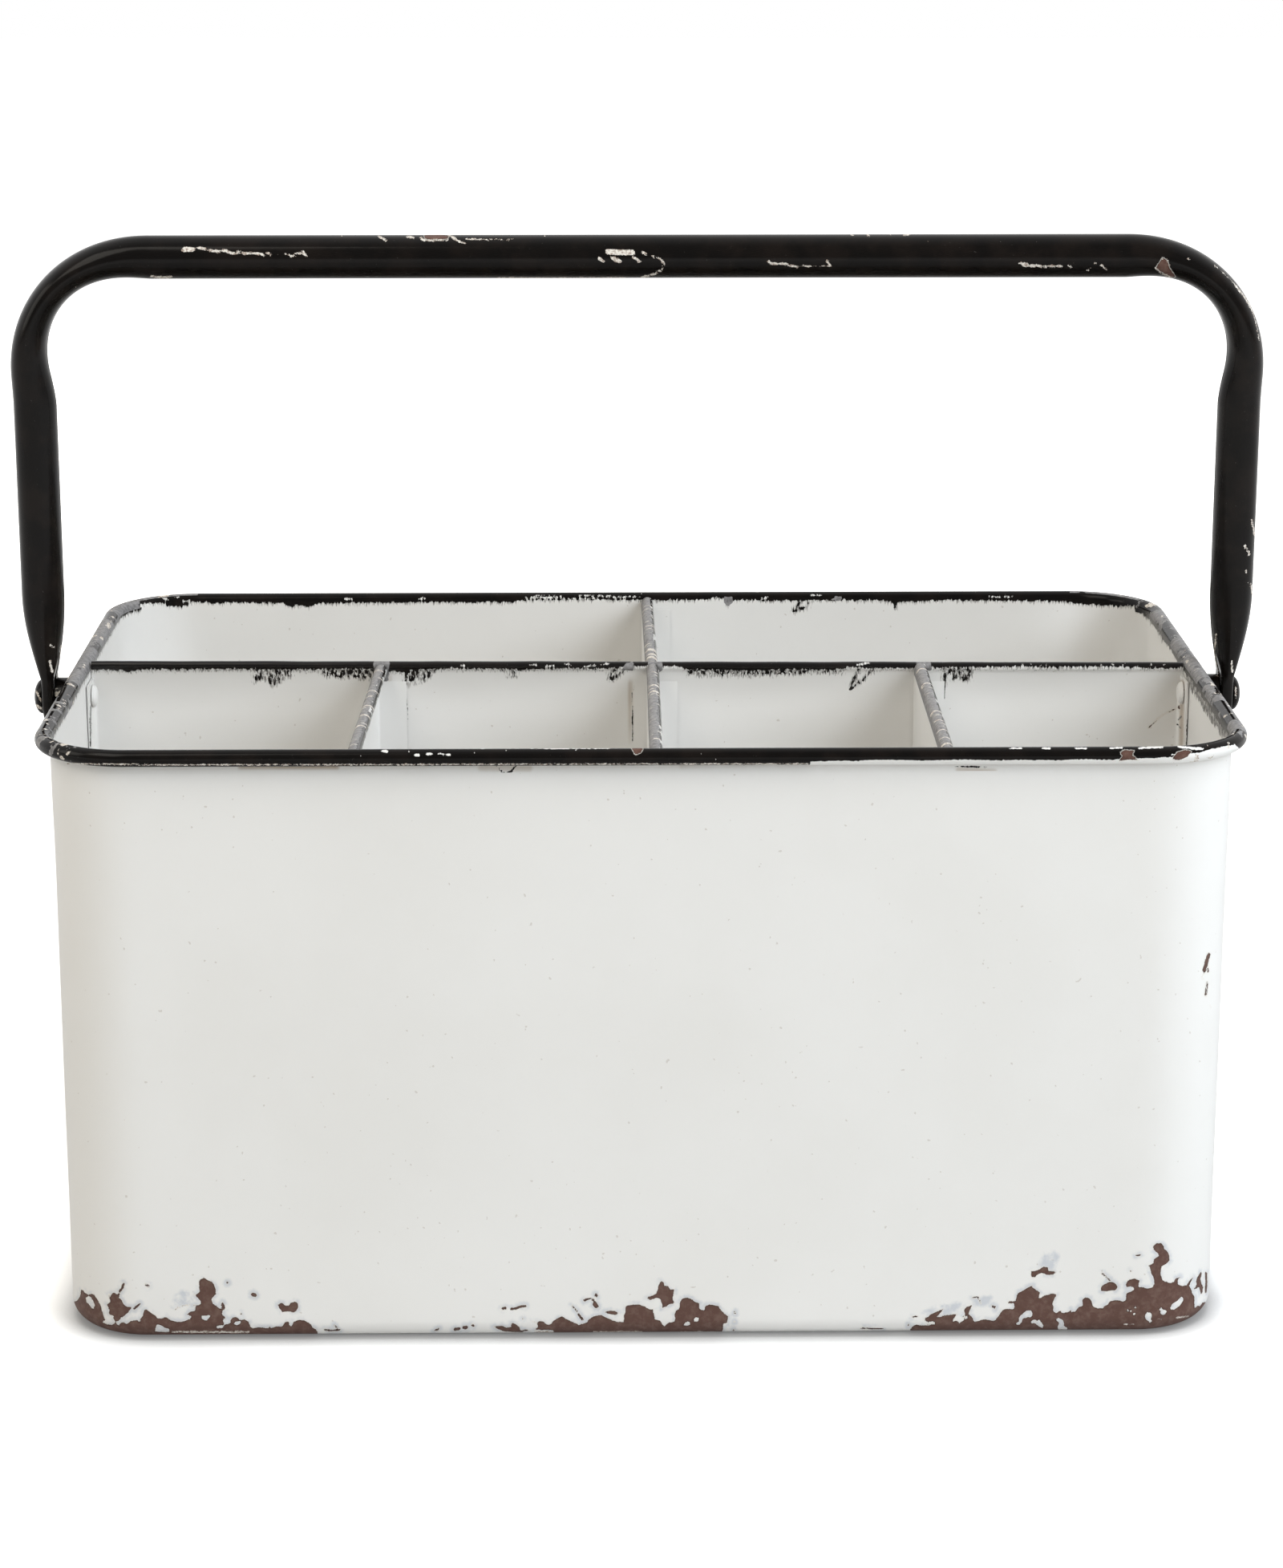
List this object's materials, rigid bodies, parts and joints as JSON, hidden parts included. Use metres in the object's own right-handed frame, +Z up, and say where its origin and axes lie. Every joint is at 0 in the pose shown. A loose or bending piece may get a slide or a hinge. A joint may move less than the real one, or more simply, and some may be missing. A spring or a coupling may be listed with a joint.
{
  "type": "storage caddy",
  "caption": "Oblong sheet steel caddy with rounded corners, a rolled rim, upright dividers that make open compartments, and a bent tube handle that swings on rivets at both ends.",
  "frame": {"origin": "under the middle of the bin, on the surface that it stands on", "axes": "+Z up, +X along the bin and the handle's bar, -Y towards the side with the small compartments"},
  "size_m": [0.3892, 0.2222, 0.3201],
  "materials": {
    "white_enamel": "semi-gloss off-white enamel, chipped to red-brown primer at the foot",
    "black_enamel": "gloss black enamel, scratched to white and bare brown",
    "bare_steel": "plain drawn wire"
  },
  "bodies": {
    "caddy": {"body_shell": "white_enamel", "rim_wire": "bare_steel", "base_pan": "white_enamel", "long_divider": "white_enamel", "front_divider_left": "white_enamel", "front_divider_center": "white_enamel", "front_divider_right": "white_enamel", "back_divider": "white_enamel", "right_rivet": "black_enamel", "right_spacer": "black_enamel", "left_rivet": "black_enamel", "left_spacer": "black_enamel"},
    "handle": {"handle": "black_enamel"}
  },
  "joints": [
    {"name": "handle_swing", "type": "hinge", "parent": "caddy", "child": "handle", "pos_m": [0, 0, 0.1745], "axis": [1, 0, 0], "range_deg": [-124, 124]}
  ]
}
